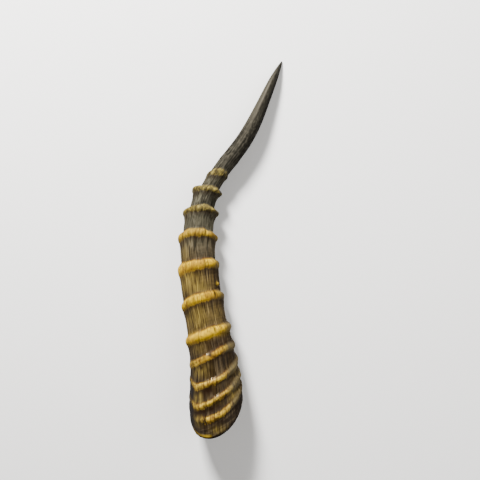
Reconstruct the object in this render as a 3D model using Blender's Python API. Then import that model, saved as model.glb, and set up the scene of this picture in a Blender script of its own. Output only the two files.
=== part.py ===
"""Blesbok horn: the hollow sheath of one horn, ringed over two thirds of its length, lying on its inner side.

Blender 4.5, metres, +Z up. +Y runs from the open base to the tip, which leans to +X, and the horn's outer
face looks up. The origin is on the floor, under the middle of the horn's bounding box.
"""

import math
from collections import namedtuple

import bmesh
import bpy
import numpy as np

# The sizes below are in millimetres and in the horn's own measure, which counts y along +Y from the base.
METRES_PER_MM = 0.001
ORIGIN = (12.2, 159.3, -0.1)  # where the frame's origin lies in the horn's own measure
TIP_Y = 312.6

# (y, how far the centreline lies towards +X there): leaning back over the rings, then sweeping to the tip
CENTRELINE = (
    (-4, 3.0), (32, 0.0), (60, -1.9), (88, -6.3), (112, -10.6), (138, -13.8), (163, -14.9),
    (185, -12.3), (203, -6.3), (220, 4.0), (243, 21.6), (268, 35.1), (294, 46.4), (313, 55.0),
)
# (y, half the width in the hollows between the rings)
BODY = (
    (-4, 21.4), (30, 21.4), (53, 19.5), (78, 17.8), (96, 16.3), (122, 15.4), (151, 13.6), (175, 11.3),
    (194, 8.8), (210, 7.0), (227, 6.9), (245, 6.7), (262, 5.95), (280, 4.65), (295, 3.5), (304, 2.3),
    (310, 1.1), (313, 0.4),
)
# (y, how far the body's back is off the floor): the rings hold it up, and it arches from belly to tip
ARCH = ((-4, 0.6), (40, 0.5), (90, 1.3), (145, 1.6), (200, 3.2), (250, 4.6), (290, 3.0), (313, 0.0))
# (y, half the width of the hollow that the bony core filled)
HOLLOW = (
    (-4, 19.2), (30, 18.8), (53, 16.8), (78, 14.8), (96, 13.0), (122, 11.4), (150, 8.6), (166, 6.0),
    (177, 2.8), (181, 0.8),
)
BASE_FLATNESS = 0.88  # thickness over width at the base, where the horn is flattened sideways
ROUND_FROM, ROUND_TO = 120, 260  # y over which the flattening fades out
BACK_SQUARENESS = 0.6  # how much squarer than an ellipse the back is at the base

# The rim is cut at a slant: its plane's y at the centreline, and how it climbs towards +X and falls towards +Z.
RIM_Y, RIM_CLIMB, RIM_FALL = 26.2, 0.40, 1.0

# A ring's crest is at y, plus slope at its +X side and less it at the other, plus bow on top and rise on the
# back. It stands out by right, top, left and back on those four sides.
Ring = namedtuple("Ring", "y slope bow rise right top left back")
RINGS = (
    Ring(36.0, 9.0, -12.0, 12.0, 0.6, 1.7, 0.3, 0.5),
    Ring(41.0, 9.4, -3.3, 13.0, 0.5, 1.6, 0.3, 0.7),
    Ring(54.4, 7.4, -3.9, 10.0, 0.7, 1.7, 0.3, 0.8),
    Ring(67.8, 4.2, 2.0, 8.0, 1.1, 1.9, 0.4, 1.0),
    Ring(85.8, 2.4, 1.4, 5.0, 2.3, 2.4, 2.2, 1.2),
    Ring(112.4, 2.2, 4.4, 0.0, 2.3, 2.3, 2.2, 1.3),
    Ring(140.8, 1.4, 2.2, -2.0, 2.6, 2.6, 2.4, 1.6),
    Ring(164.8, 0.8, 4.6, -4.0, 3.5, 3.2, 3.5, 2.2),
    Ring(185.2, 2.5, 3.3, -5.0, 4.3, 3.3, 4.2, 2.2),
    Ring(203.0, 2.4, 1.8, -4.5, 3.4, 3.0, 4.8, 2.2),
    Ring(215.4, 2.6, 3.4, -3.0, 1.0, 1.1, 1.2, 0.7),
    Ring(229.0, 2.0, 3.0, -3.0, 0.3, 0.4, 0.3, 0.3),
)
LIP, DROP = 0.08, 0.45  # above its crest a ring stays full, then has dropped, in shares of the body's radius
FLARE = 0.5  # share of a ring's height that builds up slowly below it; the rest swells close under the crest

SEGMENTS = 32
ROW_LENGTH = 2.9
TIP_ROWS = 20
HOLLOW_ROWS = 12


def curve_through(points):
    """A natural cubic spline through (y, value) points, as a function of y."""
    y, value = np.array(points, float).T
    gap = np.diff(y)
    steepness = np.diff(value) / gap
    system = np.eye(len(y))
    bends = np.zeros(len(y))
    for i in range(1, len(y) - 1):
        system[i, i - 1 : i + 2] = gap[i - 1], 2 * (gap[i - 1] + gap[i]), gap[i]
        bends[i] = 6 * (steepness[i] - steepness[i - 1])
    bends = np.linalg.solve(system, bends)

    def at(place):
        i = np.clip(np.searchsorted(y, place) - 1, 0, len(gap) - 1)
        before, after = place - y[i], y[i + 1] - place
        straight = (value[i] * after + value[i + 1] * before) / gap[i]
        bent = bends[i] * after * (after**2 - gap[i] ** 2) + bends[i + 1] * before * (before**2 - gap[i] ** 2)
        return straight + bent / (6 * gap[i])

    return at


across = curve_through(CENTRELINE)
body = curve_through(BODY)
arch = curve_through(ARCH)
hollow = curve_through(HOLLOW)


def ease(start, end, place):
    """0 before start, 1 past end, and a smooth step between them."""
    t = np.clip((place - start) / (end - start), 0, 1)
    return t * t * (3 - 2 * t)


def flatness(y):
    return BASE_FLATNESS + (1 - BASE_FLATNESS) * ease(ROUND_FROM, ROUND_TO, y)


def centre(y):
    return np.stack([across(y), y, flatness(y) * body(y) + arch(y)], -1)


def point(y, angle, radius):
    """The point at a radius from the centreline. Angle 0 is the +X side, and a quarter turn is the top."""
    y, angle = np.broadcast_arrays(y, angle)
    forward = centre(y + 0.5) - centre(y - 0.5)
    forward /= np.linalg.norm(forward, axis=-1, keepdims=True)
    sideways = np.cross(forward, (0.0, 0.0, 1.0))
    sideways /= np.linalg.norm(sideways, axis=-1, keepdims=True)
    upward = np.cross(sideways, forward)
    squareness = 2 + BACK_SQUARENESS * (1 - ease(60, 220, y)) * (np.sin(angle) < 0)
    out = np.sign(np.cos(angle)) * np.abs(np.cos(angle)) ** (2 / squareness)
    up = np.sign(np.sin(angle)) * np.abs(np.sin(angle)) ** (2 / squareness)
    return (
        centre(y)
        + (radius * out)[..., None] * sideways
        + (radius * up * flatness(y))[..., None] * upward
    )


def by_side(angle, right, top, left, back):
    """A blend of four values, one for each side of the horn."""
    out, up = np.cos(angle), np.sin(angle)
    return np.where(out > 0, right, left) * out**2 + np.where(up > 0, top, back) * up**2


def crest_y(ring, angle):
    out, up = np.cos(angle), np.sin(angle)
    return ring.y + ring.slope * out + np.where(up > 0, ring.bow * up, -ring.rise * up)


def outer_radius(y, angle):
    """The body with its rings, each a lip that drops away above its crest and flares out from below."""
    girth = body(y)
    radius = girth + 0 * angle
    below = rim_y(angle, body)
    for ring in RINGS:
        crest = crest_y(ring, angle)
        relief = by_side(angle, ring.right, ring.top, ring.left, ring.back)
        run = np.maximum(crest - below - DROP * body(ring.y), 4.0)
        under = np.clip((crest - y) / run, 0, 1)
        swell = FLARE * (1 - under) + (1 - FLARE) * (1 - ease(0, 0.55, under))
        over = 1 - ease(LIP, DROP, (y - crest) / girth)
        radius = radius + relief * np.where(y > crest, over, swell)
        below = crest
    return radius


def rim_y(angle, wall):
    """The y at which a wall, given as a radius along y, meets the rim's plane."""
    middle = centre(np.array(RIM_Y))
    y = np.full_like(angle, RIM_Y)
    for _ in range(40):
        met = point(y, angle, wall(y))
        plane = RIM_Y + RIM_CLIMB * (met[..., 0] - middle[0]) - RIM_FALL * (met[..., 2] - middle[2])
        y = y + plane - met[..., 1]
    return y


def outer_rows(angle):
    """The rows of the outer wall, each as its y at each angle: evenly spaced between neighbouring rings."""
    lines = [rim_y(angle, lambda y: outer_radius(y, angle))]
    lines += [crest_y(ring, angle) for ring in RINGS]
    rows = []
    for low, high in zip(lines, lines[1:]):
        count = math.ceil(np.mean(high - low) / ROW_LENGTH)
        rows += [low + (high - low) * i / count for i in range(count)]
    tip = [math.sin(math.pi / 2 * i / TIP_ROWS) for i in range(TIP_ROWS + 1)]
    return rows + [lines[-1] + (TIP_Y - lines[-1]) * share for share in tip]


def hollow_rows(angle):
    """The rows of the hollow's wall, from its blind end to the rim."""
    rim = rim_y(angle, hollow)
    end = HOLLOW[-1][0]
    return [end + (rim - end) * math.sin(math.pi / 2 * i / HOLLOW_ROWS) for i in range(HOLLOW_ROWS + 1)]


def turned_blank(rows):
    """A tube of unit radius along Y, open at both ends, with its rows of vertices one unit apart."""
    blank = bmesh.new()
    line = [blank.verts.new((1, row, 0)) for row in range(rows)]
    edges = [blank.edges.new(pair) for pair in zip(line, line[1:])]
    bmesh.ops.spin(
        blank, geom=line + edges, cent=(0, 0, 0), axis=(0, -1, 0), dvec=(0, 0, 0),
        angle=2 * math.pi, steps=SEGMENTS, use_merge=True, use_duplicate=False,
    )
    return blank


def horn_mesh():
    angles = np.arange(SEGMENTS) * 2 * math.pi / SEGMENTS
    inner, outer = hollow_rows(angles), outer_rows(angles)
    walls = [point(y, angles, hollow(y)) for y in inner]
    walls += [point(y, angles, outer_radius(y, angles)) for y in outer]
    blank = turned_blank(len(walls))
    for vertex in blank.verts:
        turn = math.atan2(vertex.co.z, vertex.co.x) / (2 * math.pi)
        place = walls[round(vertex.co.y)][round(turn * SEGMENTS) % SEGMENTS]
        vertex.co = (place - ORIGIN) * METRES_PER_MM
    ends = [edge for edge in blank.edges if edge.is_boundary]
    bmesh.ops.holes_fill(blank, edges=ends, sides=SEGMENTS)
    bmesh.ops.recalc_face_normals(blank, faces=blank.faces)
    mesh = bpy.data.meshes.new("horn")
    blank.to_mesh(mesh)
    blank.free()
    return mesh


def keratin():
    """Polished horn: yellowish rings over dark brown, so a brown between the two."""
    material = bpy.data.materials.new("horn keratin")
    material.use_nodes = True
    shader = material.node_tree.nodes["Principled BSDF"]
    shader.inputs["Base Color"].default_value = (0.145, 0.088, 0.034, 1)
    shader.inputs["Roughness"].default_value = 0.35
    shader.inputs["Metallic"].default_value = 0.0
    return material


for leftover in list(bpy.data.objects):
    bpy.data.objects.remove(leftover)

horn = bpy.data.objects.new("horn", horn_mesh())
horn.data.materials.append(keratin())
horn.data.shade_smooth()
horn.data.set_sharp_from_angle(angle=math.radians(50))
parts = bpy.data.collections.new("blesbok horn")
bpy.context.scene.collection.children.link(parts)
parts.objects.link(horn)
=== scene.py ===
"""The blesbok horn: a ringed sheath of keratin, yellow on its rings and nearly black at its tip."""
import math
from collections import namedtuple

import bmesh
import bpy
import numpy as np
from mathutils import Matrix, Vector


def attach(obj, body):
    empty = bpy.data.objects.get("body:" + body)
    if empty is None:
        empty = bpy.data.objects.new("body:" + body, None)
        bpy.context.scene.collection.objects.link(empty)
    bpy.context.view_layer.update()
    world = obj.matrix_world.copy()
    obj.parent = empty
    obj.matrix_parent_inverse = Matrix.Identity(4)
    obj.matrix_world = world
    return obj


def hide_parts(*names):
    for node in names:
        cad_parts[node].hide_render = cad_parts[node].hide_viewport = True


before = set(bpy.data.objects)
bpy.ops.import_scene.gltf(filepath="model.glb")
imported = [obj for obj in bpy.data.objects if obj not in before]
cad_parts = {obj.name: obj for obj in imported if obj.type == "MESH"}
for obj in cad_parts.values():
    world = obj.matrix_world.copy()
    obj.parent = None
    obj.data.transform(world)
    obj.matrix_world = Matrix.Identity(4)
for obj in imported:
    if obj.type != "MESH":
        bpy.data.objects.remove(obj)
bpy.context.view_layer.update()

# The sheath is one piece of horn keratin, grown in cones from the base, that came off its bony core whole.
# Each ring is a thick lip that drops away above its crest, and the skin between is drawn out into fibres. It
# is fixed to nothing, and lies on its inner side with its outer face, here called the front, up.

# Its sizes are in millimetres and in the horn's own measure, which counts y along +Y from the base. ORIGIN
# is the frame's origin in that measure.
MM = 0.001
ORIGIN = (12.2, 159.3, -0.1)
TIP_Y = 312.6

# (y, how far the centreline lies towards +X there)
CENTRELINE = (
    (-4, 3.0), (32, 0.0), (60, -1.9), (88, -6.3), (112, -10.6), (138, -13.8), (163, -14.9),
    (185, -12.3), (203, -6.3), (220, 4.0), (243, 21.6), (268, 35.1), (294, 46.4), (313, 55.0),
)

# (y, half the width in the hollows between the rings)
BODY = (
    (-4, 21.4), (30, 21.4), (53, 19.5), (78, 17.8), (96, 16.3), (122, 15.4), (151, 13.6), (175, 11.3),
    (194, 8.8), (210, 7.0), (227, 6.9), (245, 6.7), (262, 5.95), (280, 4.65), (295, 3.5), (304, 2.3),
    (310, 1.1), (313, 0.4),
)

# (y, how far the body's back is off the floor)
ARCH = ((-4, 0.6), (40, 0.5), (90, 1.3), (145, 1.6), (200, 3.2), (250, 4.6), (290, 3.0), (313, 0.0))

# (y, half the width of the hollow that the bony core filled)
HOLLOW = (
    (-4, 19.2), (30, 18.8), (53, 16.8), (78, 14.8), (96, 13.0), (122, 11.4), (150, 8.6), (166, 6.0),
    (177, 2.8), (181, 0.8),
)
HOLLOW_END = HOLLOW[-1][0]

# The base is less deep than wide, and squarer at the back than at the front. Both fade out along the horn.
BASE_FLATNESS, ROUND_FROM, ROUND_TO = 0.88, 120, 260
BACK_SQUARENESS, SQUARE_FROM, SQUARE_TO = 0.6, 60, 220

# The rim is cut at a slant: its plane's y at the centreline, and how it climbs towards +X and falls towards
# +Z. The place where a wall meets it is found by closing in on it so many times.
RIM_Y, RIM_CLIMB, RIM_FALL = 26.2, 0.40, 1.0
RIM_ROUNDS = 40

# A ring's crest is at y, plus slope at its +X side and less it at the other, plus bow on the front, rise on
# the back and curl round the left. Then come its relief, the width of its yellow band, and gold, which says
# how strong the band's yellow is, each on the right, the front, the left and the back.
Ring = namedtuple("Ring", "y slope bow rise curl relief band gold")
RINGS = (
    Ring(36.0, 8.6, -13.2, 12.0, 3.0, (1.5, 1.9, 0.5, 0.5), (7.0, 5.4, 6.5, 2.5), (0.55, 0.95, -0.6, 0.1)),
    Ring(41.0, 10.2, -5.8, 13.0, 6.5, (1.9, 1.9, 0.5, 0.7), (9.0, 4.4, 5.8, 2.5), (0.8, 0.9, 0.8, 0.1)),
    Ring(54.0, 8.0, -4.3, 10.0, 5.0, (2.0, 2.0, 0.6, 0.8), (7.0, 5.2, 6.0, 3.0), (0.9, 1.0, 1.0, 0.5)),
    Ring(67.8, 6.0, 2.6, 8.0, 0.5, (2.0, 2.1, 0.8, 1.0), (5.5, 5.0, 6.2, 3.0), (0.95, 1.0, 0.95, 0.6)),
    Ring(85.8, 3.0, 1.4, 5.0, 0.0, (2.4, 2.5, 2.2, 1.2), (6.0, 8.5, 7.0, 4.0), (0.95, 1.0, 1.0, 0.8)),
    Ring(112.4, 2.4, 4.2, 0.0, 0.0, (2.3, 2.3, 2.2, 1.3), (6.0, 7.4, 7.0, 4.0), (0.9, 1.0, 1.0, 0.8)),
    Ring(140.4, 1.6, 2.2, -2.0, 0.0, (2.6, 2.6, 2.6, 1.6), (7.0, 8.2, 10.5, 4.5), (0.9, 1.0, 1.0, 0.8)),
    Ring(164.2, 0.8, 4.4, -4.0, 0.0, (3.5, 3.2, 3.5, 2.2), (5.0, 6.4, 6.6, 4.0), (0.85, 1.0, 1.0, 0.7)),
    Ring(185.2, 2.5, 3.3, -5.0, 0.0, (4.3, 3.3, 4.2, 2.2), (3.2, 5.2, 4.2, 3.0), (0.6, 1.0, 0.85, 0.6)),
    Ring(203.0, 2.4, 1.8, -4.5, 0.0, (3.4, 3.0, 4.8, 2.2), (2.8, 4.4, 3.8, 2.6), (0.5, 0.85, 0.8, 0.5)),
    Ring(215.4, 2.6, 3.4, -3.0, 0.0, (1.0, 1.1, 1.2, 0.7), (2.8, 4.8, 3.8, 2.6), (0.3, 0.85, 0.5, 0.3)),
    Ring(229.0, 2.0, 3.0, -3.0, 0.0, (0.3, 0.4, 0.3, 0.3), (2.0, 2.0, 2.0, 2.0), (0.0, 0.1, 0.0, 0.0)),
)

# Where the curl of a ring and the painted highlight above the rim begin, are full, fade and end, in radians
# round the horn from the right, over the front.
CURL_TURNS = (2.25, 2.85, 3.2, 3.9)
RIM_HIGHLIGHT_TURNS = (1.7, 2.0, 2.5, 2.9)

# How finely the sheath is divided: the segments round it, the rows in a band, in the tip past SHAFT_END and
# in the hollow, the steps between the rows of a waist and of the shaft, and the least step below the shaft.
SEGMENTS = 320
BAND_ROWS, TIP_ROWS, HOLLOW_ROWS = 7, 24, 22
WAIST_STEP, SHAFT_STEP, LEAST_STEP = 1.15, 1.7, 0.6
SHAFT_END = 275


def curve_through(points):
    """A natural cubic spline through (y, value) points, as a function of y."""
    y, value = np.array(points, float).T
    gap = np.diff(y)
    steepness = np.diff(value) / gap
    system = np.eye(len(y))
    bends = np.zeros(len(y))
    for i in range(1, len(y) - 1):
        system[i, i - 1 : i + 2] = gap[i - 1], 2 * (gap[i - 1] + gap[i]), gap[i]
        bends[i] = 6 * (steepness[i] - steepness[i - 1])
    bends = np.linalg.solve(system, bends)

    def at(place):
        i = np.clip(np.searchsorted(y, place) - 1, 0, len(gap) - 1)
        before, after = place - y[i], y[i + 1] - place
        straight = (value[i] * after + value[i + 1] * before) / gap[i]
        near = bends[i] * after * (after**2 - gap[i] ** 2)
        far = bends[i + 1] * before * (before**2 - gap[i] ** 2)
        return straight + (near + far) / (6 * gap[i])

    return at


across = curve_through(CENTRELINE)
body = curve_through(BODY)
arch = curve_through(ARCH)
hollow = curve_through(HOLLOW)


def ease(start, end, place):
    """0 before start, 1 past end, and a smooth step between them."""
    t = np.clip((place - start) / (end - start), 0, 1)
    return t * t * (3 - 2 * t)


def between(start, full, fading, end, place):
    """1 from full to fading, 0 before start and past end, and a smooth step on each side."""
    return ease(start, full, place) * (1 - ease(fading, end, place))


def peak(place, middle, reach):
    """1 at the middle, smoothly falling to a third at one reach from it and to nothing at two."""
    return np.exp(-(((place - middle) / reach) ** 2))


def flatness(y):
    """How deep the horn is for its width."""
    return BASE_FLATNESS + (1 - BASE_FLATNESS) * ease(ROUND_FROM, ROUND_TO, y)


def centre(y):
    """The point of the centreline at y."""
    return np.stack([across(y), y, flatness(y) * body(y) + arch(y)], -1)


def point(y, angle, radius):
    """The point at a radius from the centreline. Angle 0 is the +X side, and a quarter turn is the front."""
    y, angle = np.broadcast_arrays(y, angle)
    forward = centre(y + 0.5) - centre(y - 0.5)
    forward /= np.linalg.norm(forward, axis=-1, keepdims=True)
    sideways = np.cross(forward, (0.0, 0.0, 1.0))
    sideways /= np.linalg.norm(sideways, axis=-1, keepdims=True)
    upward = np.cross(sideways, forward)
    squareness = 2 + BACK_SQUARENESS * (1 - ease(SQUARE_FROM, SQUARE_TO, y)) * (np.sin(angle) < 0)
    out = np.sign(np.cos(angle)) * np.abs(np.cos(angle)) ** (2 / squareness)
    up = np.sign(np.sin(angle)) * np.abs(np.sin(angle)) ** (2 / squareness)
    return (
        centre(y)
        + (radius * out)[..., None] * sideways
        + (radius * up * flatness(y))[..., None] * upward
    )


def by_side(angle, sides):
    """A blend of four values, for the horn's right, front, left and back."""
    right, front, left, back = sides
    out, up = np.cos(angle), np.sin(angle)
    return np.where(out > 0, right, left) * out**2 + np.where(up > 0, front, back) * up**2


def wander(y, angle, cells, length, seed):
    """Smooth noise from -1 to 1 that closes round the horn, with so many cells round it, each so long."""
    lowest, span = -15, 340
    table = np.random.default_rng(seed).uniform(-1, 1, (int(span / length) + 3, cells))
    u, v = angle / math.tau % 1 * cells, (y - lowest) / length
    i, j = np.floor(u).astype(int), np.floor(v).astype(int)
    s, t = ease(0, 1, u - i), ease(0, 1, v - j)
    near = table[j, i % cells] * (1 - s) + table[j, (i + 1) % cells] * s
    far = table[j + 1, i % cells] * (1 - s) + table[j + 1, (i + 1) % cells] * s
    return near * (1 - t) + far * t


def crest_y(ring, angle):
    """The y of a ring's crest, which wavers by up to half a millimetre."""
    out, up = np.cos(angle), np.sin(angle)
    waver = 0.45 * wander(ring.y, angle, 22, 15, 3)
    curl = ring.curl * between(*CURL_TURNS, angle)
    return ring.y + ring.slope * out + np.where(up > 0, ring.bow * up, -ring.rise * up) + curl + waver


def rim_y(angle, wall):
    """The y at which a wall, given as a radius along y, meets the rim's plane."""
    middle = centre(np.array(RIM_Y))
    y = np.full_like(angle, RIM_Y)
    for _ in range(RIM_ROUNDS):
        met = point(y, angle, wall(y))
        plane = RIM_Y + RIM_CLIMB * (met[..., 0] - middle[0]) - RIM_FALL * (met[..., 2] - middle[2])
        y = y + plane - met[..., 1]
    return y


# What marks the surface besides its rings: the mark's y and its degrees round the horn, how far it reaches
# along and around, how high it stands, and how much the surface darkens, pales, turns to amber or to slate
# and painted shade, or shines there.
Mark = namedtuple("Mark", "y degrees along around height dark pale amber slate shine", defaults=(0,) * 6)
MARKS = (
    # pits and cracks in the lips from the fourth up
    Mark(71.4, 92, 1.5, 1.7, height=-0.6, dark=0.9),
    Mark(69.0, 84, 1.2, 0.8, height=-0.3, dark=0.6),
    Mark(89.4, 70, 2.6, 0.9, height=-0.7, dark=0.8),
    Mark(118.0, 49, 3.4, 0.9, height=-1.1, dark=0.85),
    Mark(169.6, 64, 3.6, 0.6, height=-0.6, dark=0.7),
    # the nub above the sixth ring, and the dent under it, darkened as painted shadow of the nub
    Mark(125.6, 27, 1.3, 1.4, height=1.7, pale=0.4, amber=0.3),
    Mark(122.6, 25, 1.0, 2.0, height=-0.5, dark=0.8),
    # the crease up from the rim
    Mark(23.0, 112, 11.0, 0.9, height=-0.8, dark=0.85),
    # dark hollows in the three lowest lips and between them
    Mark(26.8, 124, 2.2, 4.6, height=-0.2, dark=0.95),
    Mark(28.4, 98, 2.6, 3.2, height=-0.2, dark=0.95),
    Mark(30.4, 82, 3.0, 2.8, height=-0.2, dark=0.85),
    Mark(36.8, 97, 1.6, 1.8, height=-0.3, dark=0.55),
    Mark(43.2, 103, 2.8, 4.0, height=-0.3, dark=0.95),
    Mark(50.2, 122, 1.2, 0.8, height=-0.2, dark=0.55),
    Mark(52.8, 72, 0.9, 1.4, height=-0.2, dark=0.5),
    # chips in the fourth lip
    Mark(65.2, 141, 1.2, 1.1, height=-0.2, dark=0.6),
    Mark(66.2, 129, 0.9, 1.2, height=-0.2, dark=0.65),
    Mark(67.6, 119, 1.1, 0.8, height=-0.2, dark=0.6),
    Mark(69.4, 108, 0.8, 1.3, height=-0.2, dark=0.5),
    # short grooves round the right side of the base, and its swelling there
    Mark(48.5, 6, 1.8, 12.0, height=-0.5, dark=0.3),
    Mark(62.0, 10, 1.8, 12.0, height=-0.5, dark=0.3),
    Mark(75.5, 10, 1.8, 12.0, height=-0.5, dark=0.3),
    Mark(33.0, 2, 12.0, 14.0, height=1.2),
    # dark stains with no depth
    Mark(16.0, 97, 2.6, 2.6, dark=0.45),
    Mark(19.0, 122, 3.0, 1.4, dark=0.5),
    Mark(38.0, 66, 2.6, 3.0, dark=0.45),
    Mark(38.4, 84, 1.2, 1.3, dark=0.4),
    Mark(40.5, 112, 3.4, 2.2, dark=0.55),
    Mark(45.5, 122, 2.5, 2.0, dark=0.4),
    Mark(59.5, 98, 3.4, 1.6, dark=0.6),
    Mark(61.6, 117, 2.4, 1.8, dark=0.8),
    Mark(80.0, 80, 5.0, 22.0, dark=0.25),
    # skin worn down to amber
    Mark(13.5, 86, 2.6, 5.0, amber=0.6),
    Mark(20.6, 127, 3.2, 5.2, amber=0.95),
    Mark(33.0, 132, 4.0, 5.0, amber=0.85),
    Mark(33.6, 92, 2.6, 6.0, amber=0.45),
    Mark(38.0, 134, 4.5, 5.0, amber=0.8),
    Mark(38.5, 48, 5.0, 4.6, height=0.3, amber=0.45),
    Mark(44.0, 30, 5.5, 5.0, amber=0.4),
    Mark(48.0, 98, 3.2, 5.0, amber=0.35),
    Mark(57.0, 30, 3.5, 6.0, amber=0.4),
    Mark(60.0, 128, 6.0, 9.0, amber=0.5),
    Mark(79.0, 127, 6.0, 8.0, amber=0.3),
    Mark(101.0, 60, 9.0, 9.0, amber=0.3),
    Mark(101.0, 112, 10.0, 12.0, amber=0.6),
    Mark(124.0, 96, 9.0, 10.0, amber=0.7),
    Mark(127.0, 60, 8.0, 7.0, amber=0.22),
    Mark(131.0, 136, 9.0, 12.0, amber=0.95),
    Mark(151.0, 142, 8.0, 5.0, amber=0.4),
    # the fifth lip, which is rubbed the palest
    Mark(87.0, 96, 3.0, 20.0, pale=0.25),
    # slate down the left and right of the base, partly painted shade, and painted shade along the right of
    # the tip
    Mark(30.0, 166, 32.0, 9.0, slate=1.0),
    Mark(12.0, 10, 22.0, 11.0, slate=0.6),
    Mark(268.0, 8, 36.0, 2.6, slate=0.7),
    # facets that catch the light
    Mark(40.0, 86, 3.0, 2.8, shine=1.0),
    Mark(53.6, 94, 4.2, 4.6, shine=1.0),
    Mark(73.8, 103, 3.4, 4.2, shine=1.0),
    Mark(91.0, 118, 4.0, 3.0, shine=0.6),
    Mark(227.5, 136, 5.0, 3.5, shine=0.7),
)


def marks_at(y, angle, girth):
    """How high the marks stand, then how much they turn to amber, darken, pale, turn to slate and painted
    shade, and shine.
    """
    height = np.zeros(y.shape)
    turned = np.zeros(y.shape + (5,))
    for mark in MARKS:
        turn = (angle - math.radians(mark.degrees) + math.pi) % math.tau - math.pi
        reached = peak(y, mark.y, mark.along) * peak(turn * girth, 0, mark.around)
        height = height + mark.height * reached
        strengths = (mark.amber, mark.dark, mark.pale, mark.slate, mark.shine)
        turned = np.maximum(turned, reached[..., None] * strengths)
    return height, *np.moveaxis(turned, -1, 0)


def rings_at(y, angle, girth, shine):
    """The radius with its rings, then how far off the nearest lip is, on which side, and its gold."""
    radius = girth
    edge = np.full(y.shape, np.inf)
    side, gold = np.zeros(y.shape), np.zeros(y.shape)
    below = rim_y(angle[:1], body)
    for number, ring in enumerate(RINGS):
        crest = crest_y(ring, angle)
        rise = y - crest
        half = by_side(angle, ring.band) / 2
        half_up = half * (1 + 0.07 * wander(ring.y, angle, 21, 20, 40 + number))
        half_down = half + 0.10 * wander(ring.y, angle, 33, 20, 60 + number)

        # a lip swells slowly out of the waist below it, and above its crest drops away, steeply at first
        run = np.maximum(crest - below - 0.45 * body(ring.y), 4.0)
        under = np.clip(-rise / run, 0, 1)
        swell = 0.5 * (1 - under) + 0.5 * (1 - ease(0, 0.55, under))
        steep = 1 - ease(0.35 * half_up, half_up + 1.3 + 1.1 * shine, rise)
        slow = 1 - ease(0.05, 0.42, rise / girth)
        form = np.where(rise > 0, 0.68 * steep + 0.32 * slow, swell)

        # a bead runs along its crest, with a thin groove above it and a fainter one below
        bead = np.sqrt(np.clip(1 - (rise / np.where(rise > 0, half_up, half_down)) ** 2, 0, 1))
        groove = peak(rise, half_up + 0.9, 0.6) + 0.3 * peak(rise, -half_down - 0.7, 0.6)
        relief = by_side(angle, ring.relief) * (1 + 0.06 * wander(ring.y, angle, 17, 20, 5 + number))
        relief = relief * (1 + 0.4 * shine)
        radius = radius + relief * (0.80 * form + 0.28 * bead - 0.1 * groove)

        outside = np.where(rise > 0, rise - half_up, -rise - half_down)
        nearer = outside < edge
        edge = np.where(nearer, outside, edge)
        side = np.where(nearer, np.clip(rise / half, -1, 1), side)
        gold = np.where(nearer, by_side(angle, ring.gold), gold)
        below = crest
    return radius, edge, side, gold


def surface(y, angle):
    """The outer wall's radius, then its ring, tint and lie attributes."""
    girth = body(y)
    height, amber, dark, pale, slate, shine = marks_at(y, angle, girth)
    radius, edge, side, gold = rings_at(y, angle, girth, shine)

    # the skin between the lips is raised into fibres and lumps, which fade out where the smooth shaft begins
    swerve = angle + 0.03 * wander(y, angle, 9, 34, 21)
    fibres = 0.20 * np.abs(wander(y, swerve, 96, 17, 22)) + 0.16 * wander(y, swerve, 46, 26, 23)
    fibres = fibres + 0.14 * wander(y, swerve, 112, 9, 24)
    fibres = fibres * (1 - 0.9 * ease(0.6, -0.6, edge)) * (1 - 0.8 * shine)
    lumps = 0.22 * wander(y, angle, 12, 16, 25) + 0.10 * wander(y, angle, 30, 7, 26)
    rough = 1 - ease(200, 245, y)
    radius = radius + rough * ((fibres + lumps) * np.minimum(1, girth / 9) - 0.05) + height

    # painted shade darkens the rim's edge, and a painted highlight lies just above it on the front left
    hem = y - rim_y(angle[:1], body)
    pale = np.maximum(pale, 0.65 * between(*RIM_HIGHLIGHT_TURNS, angle) * peak(hem, 2.1, 0.5))
    dark = np.maximum(dark, 0.85 * peak(hem, 0, 1.3))

    # the flanks and the back have less sheen than the front
    flank = np.where(np.sin(angle) > 0, ease(0.35, 0.88, np.abs(np.cos(angle))), 1.0)
    ring_values = np.stack([edge, side, gold], -1)
    tint_values = np.stack([amber, dark, pale], -1)
    lie_values = np.stack([shine - flank, hem, slate], -1)
    return radius, ring_values, tint_values, lie_values


def slowing(count):
    """Shares from 0 to 1 in steps that shorten towards the end."""
    return [math.sin(math.pi / 2 * k / count) for k in range(count + 1)]


def outer_rows(angle):
    """The y of each row of the outer wall, from rim to tip, at each angle. The rows follow the bands."""
    lines = [rim_y(angle, body)]
    for ring in RINGS[:-1]:
        half = by_side(angle, ring.band) / 2
        lines += [crest_y(ring, angle) - half, crest_y(ring, angle) + half]
    lines.append(crest_y(RINGS[-1], angle))
    for i in range(1, len(lines)):
        lines[i] = np.maximum(lines[i], lines[i - 1] + LEAST_STEP)
    rows = []
    for i, (low, high) in enumerate(zip(lines, lines[1:])):
        count = BAND_ROWS if i % 2 else math.ceil(np.mean(high - low) / WAIST_STEP)
        rows += [low + (high - low) * k / count for k in range(count)]
    last = lines[-1]
    count = math.ceil((SHAFT_END - RINGS[-1].y) / SHAFT_STEP)
    rows += [last + (SHAFT_END - last) * k / count for k in range(count)]
    rows += [SHAFT_END + (TIP_Y - SHAFT_END) * share + 0 * angle for share in slowing(TIP_ROWS)]
    return np.array(rows)


def hollow_rows(angle):
    """The y of each row of the hollow's wall, from its blind end to the rim, at each angle."""
    rim = rim_y(angle, hollow)
    return np.array([HOLLOW_END + (rim - HOLLOW_END) * share for share in slowing(HOLLOW_ROWS)])


angles = np.arange(SEGMENTS) * math.tau / SEGMENTS
outer_y = outer_rows(angles)
outer_radius, outer_ring, outer_tint, outer_lie = surface(outer_y, np.broadcast_to(angles, outer_y.shape))

# the rim's outer corner is worn round
for row, loss in enumerate((0.5, 0.2, 0.05)):
    outer_radius[row] -= loss

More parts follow.
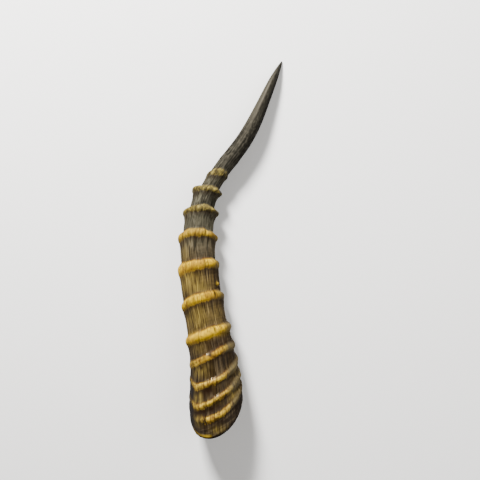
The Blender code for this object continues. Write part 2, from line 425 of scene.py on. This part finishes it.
# the wall of the hollow ripples a little, less where it narrows
inner_y = hollow_rows(angles)
inner_turns = np.broadcast_to(angles, inner_y.shape)
ripple = 0.18 * wander(inner_y, inner_turns, 60, 24, 31) + 0.15 * wander(inner_y, inner_turns, 14, 14, 32)
inner_radius = hollow(inner_y) + ripple * np.minimum(1, hollow(inner_y) / 8)

# the rows run from the hollow's blind end to the rim and on to the tip, and each end closes in one point
blind = np.full((1, SEGMENTS), HOLLOW_END + 0.5)
tip = np.full((1, SEGMENTS), TIP_Y + 0.15)
shut = np.zeros((1, SEGMENTS))
row_y = np.concatenate([blind, inner_y, outer_y, tip])
row_radius = np.concatenate([shut, inner_radius, outer_radius, shut])
places = (point(row_y, angles, row_radius) - ORIGIN) * MM

# What the material reads at each point. Ring: its distance from the nearest lip's edge, where it lies across
# the lip from -1 to 1, and the lip's gold. Tint: amber, dark and pale. Lie: its sheen, its distance up from
# the rim, and slate, partly painted shade. Grain: a place on a straight horn that tapers less, so that the
# streaks narrow less.
GRAIN_SPREAD = 4.4
grain_radius = GRAIN_SPREAD * np.sqrt(np.maximum(body(row_y), 0.3))
inside = np.zeros((1 + len(inner_y), SEGMENTS, 3))
attributes = {
    "ring": np.concatenate([inside + (9.0, 0, 0), outer_ring, outer_ring[-1:]]),
    "tint": np.concatenate([inside, outer_tint, outer_tint[-1:]]),
    "lie": np.concatenate([inside + (-1.0, -1.0, 0), outer_lie, outer_lie[-1:]]),
    "grain": np.stack([grain_radius * np.cos(angles), grain_radius * np.sin(angles), row_y], -1),
}

# The blank is spun from a profile whose x is 0 at its two ends and 1 elsewhere, and whose y counts the rows.
blank = bmesh.new()
ends = (0, len(places) - 1)
profile = [blank.verts.new((0 if row in ends else 1, row, 0)) for row in range(len(places))]
profile_edges = [blank.edges.new(pair) for pair in zip(profile, profile[1:])]
bmesh.ops.spin(
    blank, geom=profile + profile_edges, cent=(0, 0, 0), axis=(0, -1, 0), dvec=(0, 0, 0),
    angle=math.tau, steps=SEGMENTS, use_merge=True, use_duplicate=False,
)
bmesh.ops.remove_doubles(blank, verts=blank.verts, dist=0.0001)
mesh = bpy.data.meshes.new("horn_sheath")
blank.to_mesh(mesh)
blank.free()

# Each point of the blank then moves to the place of its row and its turn.
spun = np.zeros(len(mesh.vertices) * 3)
mesh.vertices.foreach_get("co", spun)
spun = spun.reshape(-1, 3)
vertex_row = np.round(spun[:, 1]).astype(int)
vertex_turn = np.round(np.arctan2(spun[:, 2], spun[:, 0]) / math.tau * SEGMENTS).astype(int) % SEGMENTS
mesh.vertices.foreach_set("co", places[vertex_row, vertex_turn].ravel())
for name, values in attributes.items():
    attribute = mesh.attributes.new(name, "FLOAT_VECTOR", "POINT")
    attribute.data.foreach_set("vector", values[vertex_row, vertex_turn].ravel())


def by_points(face):
    """A number that orders a face by its points."""
    first, second, third = sorted(vert.index for vert in face.verts)[:3]
    return (first * len(mesh.vertices) + second) * len(mesh.vertices) + third


# The spin leaves the faces in another order each time, so they are sorted to make every run the same.
closed = bmesh.new()
closed.from_mesh(mesh)
bmesh.ops.recalc_face_normals(closed, faces=closed.faces)
closed.verts.index_update()
closed.faces.sort(key=by_points)
closed.to_mesh(mesh)
closed.free()
mesh.shade_smooth()
sheath = bpy.data.objects.new("horn_sheath", mesh)
bpy.context.scene.collection.objects.link(sheath)


def linear(hex_colour):
    """An sRGB hex colour as linear red, green, blue and alpha."""
    channels = [int(hex_colour[i : i + 2], 16) / 255 for i in (1, 3, 5)]
    return [c / 12.92 if c <= 0.04045 else ((c + 0.055) / 1.055) ** 2.4 for c in channels] + [1.0]


def add(kind, inputs, output=0, **settings):
    """Adds a node with its settings and inputs, each a value or another's output, and gives an output."""
    made = tree.nodes.new("ShaderNode" + kind)
    for name, value in settings.items():
        setattr(made, name, value)
    for name, value in inputs.items():
        if isinstance(value, bpy.types.NodeSocket):
            tree.links.new(value, made.inputs[name])
        else:
            made.inputs[name].default_value = value
    return made.outputs[output]


# Polished horn keratin: the lips of the rings are worn through to yellow horn, the skin between them is
# brown and fibrous, and the tip is nearly black. It was oiled and rubbed with a cloth, which gives the eye a
# satin sheen with small sharp glints where the surface turns.
keratin = bpy.data.materials.new("polished horn keratin")
keratin.use_nodes = True
tree = keratin.node_tree
shader = tree.nodes["Principled BSDF"]

# what the mesh knows of each place
grain, ring_place, tint, lie = [
    add("Attribute", {}, "Vector", attribute_name=name) for name in ("grain", "ring", "tint", "lie")
]
rightward, frontward, along = [add("SeparateXYZ", {0: grain}, axis) for axis in "XYZ"]
edge, side, gold = [add("SeparateXYZ", {0: ring_place}, axis) for axis in "XYZ"]
amber_mark, dark_mark, pale_mark = [add("SeparateXYZ", {0: tint}, axis) for axis in "XYZ"]
gloss, hem, slate_and_shade_mark = [add("SeparateXYZ", {0: lie}, axis) for axis in "XYZ"]

# Streaks of several sizes, each so wide round the horn and so long along it, in millimetres. The fibres of
# real horn are only 0.1 to 0.2 mm wide, so the hair is drawn coarser, at 1 mm, to show in the render.
noises = {}
for name, width, length, detail in (
    ("hair", 1.0, 19.0, 1.0),
    ("strand", 2.0, 32.0, 2.0),
    ("cord", 5.5, 42.0, 2.0),
    ("fringe", 1.2, 22.0, 1.0),
    ("mottle", 2.2, 3.0, 4.0),
    ("cloud", 11.0, 15.0, 2.0),
):
    stretched = add("Mapping", {"Vector": grain, "Scale": (1 / width, 1 / width, 1 / length)})
    settings = {"Vector": stretched, "Scale": 1.0, "Detail": detail, "Roughness": 0.55}
    noises[name] = add("TexNoise", settings, "Fac")
hair, strand, cord, fringe, mottle, cloud = noises.values()

# Growth lines, which run beside the rings. They too are drawn coarser than the real ones, at 1.9 mm wide,
# and each is 14 mm long round the horn.
GROWTH_WIDTH, GROWTH_LENGTH = 1.9, 14
growth = add("CombineXYZ", {0: rightward, 1: frontward, 2: edge})
stretch = (1 / GROWTH_LENGTH, 1 / GROWTH_LENGTH, 1 / GROWTH_WIDTH)
growth = add("Mapping", {"Vector": growth, "Scale": stretch})
growth = add("TexNoise", {"Vector": growth, "Scale": 1.0, "Detail": 2.0, "Roughness": 0.55}, "Fac")

# A MapRange below takes its value as input 0, the range it runs over as 1 and 2, and what that becomes as 3
# and 4, from 0 to 1 where they aren't given. A Mix takes its share as 0 and its two colours as 6 and 7.

# the lips near the base are stained in more places than those above, and their lower halves get less painted
# shade
stained = add("MapRange", {0: along, 1: 62.0, 2: 82.0, 3: -0.06, 4: 0.0})
speckle = add("Math", {0: mottle, 1: stained}, operation="ADD")
lightened = add("MapRange", {0: along, 1: 62.0, 2: 82.0, 3: 0.4, 4: 0.0})
shaded = add("Math", {0: side, 1: lightened}, operation="ADD")

# the lips fade to grey round the right side, and those above the fourth only at its very edge
faded = add("MapRange", {0: along, 1: 70.0, 2: 90.0, 3: 0.0, 4: -4.0})
faded = add("Math", {0: rightward, 1: faded}, operation="ADD")

# painted sheen pales the tip down its left side
tip_start = add("MapRange", {0: along, 1: 240.0, 2: 275.0}, interpolation_type="SMOOTHSTEP")
left_side = add("MapRange", {0: rightward, 1: -2.0, 2: -6.5})
tip_painted_sheen = add("Math", {0: tip_start, 1: left_side}, operation="MULTIPLY")

# Each ground is a first colour and what is laid over it: the pattern, where that starts and is full, how
# strongly it covers, and in what colour.
grounds = {}
for name, first, layers in (
    ("brown skin", "#352917", (
        (cord, 0.46, 0.60, 0.7, "#22170C"), (cloud, 0.50, 0.64, 0.4, "#3E3220"),
        (growth, 0.54, 0.64, 0.45, "#42351F"), (growth, 0.48, 0.38, 0.6, "#171007"),
        (fringe, 0.54, 0.66, 0.65, "#5C4E3A"), (strand, 0.54, 0.64, 0.6, "#170E07"),
        (hair, 0.54, 0.61, 0.85, "#0D0703"), (along, 98.0, 76.0, 0.36, "#130C06"),
        (along, 78.0, 62.0, 0.3, "#130C06"),
    )),
    ("root skin", "#211911", (
        (cord, 0.44, 0.58, 0.7, "#150E08"), (cloud, 0.50, 0.62, 0.6, "#302716"),
        (growth, 0.48, 0.36, 0.85, "#0E0905"), (growth, 0.52, 0.62, 0.8, "#443A2A"),
        (mottle, 0.50, 0.62, 0.5, "#2F251A"), (hair, 0.55, 0.62, 0.6, "#0C0704"),
    )),
    ("amber skin", "#5E4F26", (
        (cloud, 0.44, 0.60, 0.8, "#705E2B"), (fringe, 0.50, 0.66, 0.6, "#9E8636"),
        (strand, 0.54, 0.66, 0.45, "#382A13"), (hair, 0.55, 0.62, 0.75, "#21160A"),
    )),
    ("grey skin", "#2C2A21", (
        (mottle, 0.45, 0.58, 0.9, "#434035"), (cloud, 0.45, 0.60, 0.75, "#191813"),
        (along, 196.0, 160.0, 0.5, "#4C4738"), (fringe, 0.56, 0.66, 0.35, "#5E5844"),
        (hair, 0.52, 0.60, 0.7, "#13120B"),
    )),
    ("shaft", "#11100D", (
        (cloud, 0.42, 0.60, 0.7, "#1B1A15"), (mottle, 0.48, 0.62, 0.85, "#35322A"),
        (fringe, 0.56, 0.66, 0.4, "#3A3730"), (hair, 0.52, 0.62, 0.7, "#090907"),
        # painted sheen lightens the tip's left side
        (along, 250.0, 280.0, 0.5, "#0A0A09"), (tip_painted_sheen, 0.0, 1.0, 0.75, "#35322A"),
    )),
    ("yellow lip", "#8A6E08", (
        (mottle, 0.46, 0.62, 0.8, "#AC8704"), (fringe, 0.56, 0.68, 0.7, "#CCA506"),
        (along, 76.0, 62.0, 0.45, "#A0853C"), (cloud, 0.48, 0.62, 0.6, "#6B4A14"),
        # painted shade darkens each lip's lower half
        (shaded, 0.05, -0.95, 0.65, "#493612"), (speckle, 0.43, 0.35, 0.75, "#543714"),
        (strand, 0.58, 0.66, 0.3, "#5A4116"), (hair, 0.57, 0.62, 0.65, "#33210B"),
        (side, 0.7, 1.0, 0.55, "#4C3112"), (faded, 6.5, 14.0, 0.9, "#3C3729"),
    )),
    ("olive lip", "#4A4021", (
        (mottle, 0.46, 0.62, 0.8, "#7C6D34"), (strand, 0.56, 0.64, 0.5, "#2E260F"),
        (hair, 0.56, 0.62, 0.7, "#1E180A"),
    )),
    ("inner wall", "#7E6E50", (
        (cord, 0.46, 0.62, 0.7, "#5E4E36"), (strand, 0.54, 0.64, 0.6, "#93835F"),
        (hair, 0.54, 0.62, 0.6, "#44372A"),
    )),
):
    ground = linear(first)
    for pattern, low, high, most, hue in layers:
        share = add("MapRange", {0: pattern, 1: low, 2: high, 4: most}, interpolation_type="SMOOTHSTEP")
        ground = add("Mix", {0: share, 6: ground, 7: linear(hue)}, 2, data_type="RGBA")
    grounds[name] = ground

# Where the lips lie. Their lower edges are more ragged than their upper ones, and both are blurred on the
# flanks and the back. Where a lip's gold is weak, it is broken into patches.
lower = add("MapRange", {0: side, 1: 0.3, 2: -0.3}, interpolation_type="SMOOTHSTEP")
upper = add("MapRange", {0: side, 1: -0.3, 2: 0.3}, interpolation_type="SMOOTHSTEP")
ragged = add("MapRange", {0: side, 1: -0.2, 2: 0.2, 3: 3.0, 4: 2.2}, interpolation_type="SMOOTHSTEP")
frayed = add("Math", {0: fringe, 1: 0.5}, operation="SUBTRACT")
frayed = add("Math", {0: frayed, 1: ragged, 2: edge}, operation="MULTIPLY_ADD")
blurred = add("MapRange", {0: gloss, 1: -0.3, 2: -1.0, 3: 1.0, 4: 0.45})
frayed = add("Math", {0: frayed, 1: blurred}, operation="MULTIPLY")
gilt = add("Math", {0: gold, 1: 0.9, 2: mottle}, operation="MULTIPLY_ADD")
gilt = add("MapRange", {0: gilt, 1: 0.92, 2: 1.25}, interpolation_type="SMOOTHSTEP")
lip = add("MapRange", {0: frayed, 1: 0.8, 2: -0.8}, interpolation_type="SMOOTHSTEP")
lip = add("Math", {0: lip, 1: gilt}, operation="MULTIPLY")

# from the eighth ring on, the lips turn from yellow to olive
aged = add("MapRange", {0: along, 1: 154.0, 2: 192.0}, interpolation_type="SMOOTHSTEP")
lip_colour = add("Mix", {0: aged, 6: grounds["yellow lip"], 7: grounds["olive lip"]}, 2, data_type="RGBA")

# painted shade darkens the skin just under a lip, most of all along its hairs
under = add("MapRange", {0: frayed, 1: 4.6, 2: 0.4, 4: 0.85}, interpolation_type="SMOOTHSTEP")
along_hairs = add("MapRange", {0: hair, 1: 0.40, 2: 0.56, 3: 0.4})
for share in (lower, gold, along_hairs):
    under = add("Math", {0: under, 1: share}, operation="MULTIPLY", use_clamp=True)

# a brown line runs along a lip's upper edge, partly the horn's own colour and partly painted shade in the
# groove there, in stretches, fainter on the aged rings and round the right
crease_and_shade = add("MapRange", {0: edge, 1: 1.9, 2: 0.6, 4: 0.85}, interpolation_type="SMOOTHSTEP")
stretches = add("MapRange", {0: cord, 1: 0.42, 2: 0.60, 3: 0.0})
fainter_aged = add("MapRange", {0: aged, 3: 1.0, 4: 0.35})
fainter_right = add("MapRange", {0: rightward, 1: 6.0, 2: 13.0, 3: 1.0, 4: 0.2})
for share in (upper, gold, stretches, fainter_aged, fainter_right):
    crease_and_shade = add("Math", {0: crease_and_shade, 1: share}, operation="MULTIPLY", use_clamp=True)

# a place's y, measured on the slant of the lowest ring, below which the root's skin lies
ROOT_SLANT = (-0.44, 0.59, 1.0)
slanted = add("VectorMath", {0: grain, 1: ROOT_SLANT}, "Value", operation="DOT_PRODUCT")

# each of these colours covers the ones before it, as far as its mask says
colour = grounds["brown skin"]
for mask, low, high, most, over in (
    (slanted, 40.0, 33.0, 1.0, grounds["root skin"]),
    (along, 138.0, 172.0, 1.0, grounds["grey skin"]),
    (amber_mark, 0.0, 1.0, 1.0, grounds["amber skin"]),
    (along, 208.0, 228.0, 1.0, grounds["shaft"]),
    # painted shade under each lip
    (under, 0.0, 1.0, 1.0, linear("#1A1007")),
    # the brown crease line, partly painted shade
    (crease_and_shade, 0.0, 1.0, 1.0, linear("#35200F")),
    (lip, 0.0, 1.0, 1.0, lip_colour),
    # slate, partly painted shade
    (slate_and_shade_mark, 0.0, 0.65, 0.92, linear("#0D0D10")),
    # dark stains, pits and cracks, with painted shade at the rim's edge and under the nub
    (dark_mark, 0.0, 0.75, 0.95, linear("#160B05")),
    # pale marks, with a painted highlight above the rim
    (pale_mark, 0.0, 1.0, 1.0, linear("#C09A08")),
    (hem, -0.3, -0.7, 1.0, grounds["inner wall"]),
):
    share = add("MapRange", {0: mask, 1: low, 2: high, 4: most})
    colour = add("Mix", {0: share, 6: colour, 7: over}, 2, data_type="RGBA")
tree.links.new(colour, shader.inputs["Base Color"])

# the rubbing left the tip glossier than the shaft below it, and hardly reached the shelf above each lip
rubbed = add("Math", {0: hair, 1: 0.5, 2: mottle}, operation="MULTIPLY_ADD")
rubbed = add("MapRange", {0: rubbed, 1: 0.55, 2: 0.95, 3: 0.27, 4: 0.42})
shaft_dulled = add("MapRange", {0: along, 1: 168.0, 2: 190.0, 4: 0.30}, interpolation_type="SMOOTHSTEP")
tip_polished = add("MapRange", {0: along, 1: 235.0, 2: 275.0, 4: 0.17}, interpolation_type="SMOOTHSTEP")
dull = add("Math", {0: shaft_dulled, 1: tip_polished}, operation="SUBTRACT")
shelf = add("MapRange", {0: edge, 1: 4.0, 2: 1.0, 4: 0.45}, interpolation_type="SMOOTHSTEP")
dull = add("Math", {0: shelf, 1: upper, 2: dull}, operation="MULTIPLY_ADD")
dull = add("Math", {0: gloss, 1: -0.75, 2: dull}, operation="MULTIPLY_ADD")
roughness = add("Math", {0: rubbed, 1: dull}, operation="ADD", use_clamp=True)
tree.links.new(roughness, shader.inputs["Roughness"])
shader.inputs["IOR"].default_value = 1.54
shader.inputs["Specular IOR Level"].default_value = 0.10
shader.inputs["Specular Tint"].default_value = linear("#FFEECC")

# the strands and hairs stand out a little, less on the lips and hardly at all towards the tip
relief = add("Math", {0: strand, 1: 1.2, 2: hair}, operation="MULTIPLY_ADD")
to_tip = add("MapRange", {0: along, 1: 212.0, 2: 245.0, 3: 1.0, 4: 0.12}, interpolation_type="SMOOTHSTEP")
on_lip = add("MapRange", {0: lip, 3: 1.0, 4: 0.45})
for share in (to_tip, on_lip):
    relief = add("Math", {0: relief, 1: share}, operation="MULTIPLY")
relief = add("Bump", {"Height": relief, "Strength": 0.5, "Distance": 0.5 * MM})
tree.links.new(relief, shader.inputs["Normal"])
mesh.materials.append(keratin)

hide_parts("horn")
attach(sheath, "root")

# The floor is a sheet of matt white paper, laid flat. A small key lamp shines along the horn from beyond its
# tip, and a wide fill lamp stands on its right. The camera hangs straight above the horn and looks down.
FLOOR_HALF = 3.0
floor_mesh = bpy.data.meshes.new("floor")
sheet = bmesh.new()
bmesh.ops.create_grid(sheet, x_segments=1, y_segments=1, size=FLOOR_HALF)
sheet.to_mesh(floor_mesh)
sheet.free()
floor = bpy.data.objects.new("floor", floor_mesh)
bpy.context.scene.collection.objects.link(floor)

# Matt white paper: pressed wood pulp, which spreads the light and shows no glint.
paper = bpy.data.materials.new("matt white paper")
paper.use_nodes = True
paper_shader = paper.node_tree.nodes["Principled BSDF"]
paper_shader.inputs["Base Color"].default_value = linear("#E4E2DF")
paper_shader.inputs["Roughness"].default_value = 0.9
floor_mesh.materials.append(paper)

# a little plain white light comes from all round
world = bpy.data.worlds.new("studio")
world.use_nodes = True
background = world.node_tree.nodes["Background"]
background.inputs["Color"].default_value = (1, 1, 1, 1)
background.inputs["Strength"].default_value = 0.30
bpy.context.scene.world = world

# each lamp's place and size are in metres, and its power is in watts
for name, place, size, power in (
    ("key", (-0.34, 0.86, 0.60), 0.25, 66.0),
    ("fill", (0.72, 0.12, 0.72), 0.80, 8.0),
):
    lamp = bpy.data.lights.new(name, "AREA")
    lamp.size = size
    lamp.energy = power
    light = bpy.data.objects.new(name, lamp)
    light.location = place
    light.rotation_euler = (-Vector(place)).to_track_quat("-Z", "Y").to_euler()
    bpy.context.scene.collection.objects.link(light)

# the camera keeps the turn it is made with, which looks down, and its lens is in millimetres
CAMERA_PLACE = (0.0075, 0.0036, 0.615)
lens = bpy.data.cameras.new("camera")
lens.sensor_width = 36.0
lens.lens = 54.9
camera = bpy.data.objects.new("camera", lens)
camera.location = CAMERA_PLACE
bpy.context.scene.collection.objects.link(camera)
bpy.context.scene.camera = camera
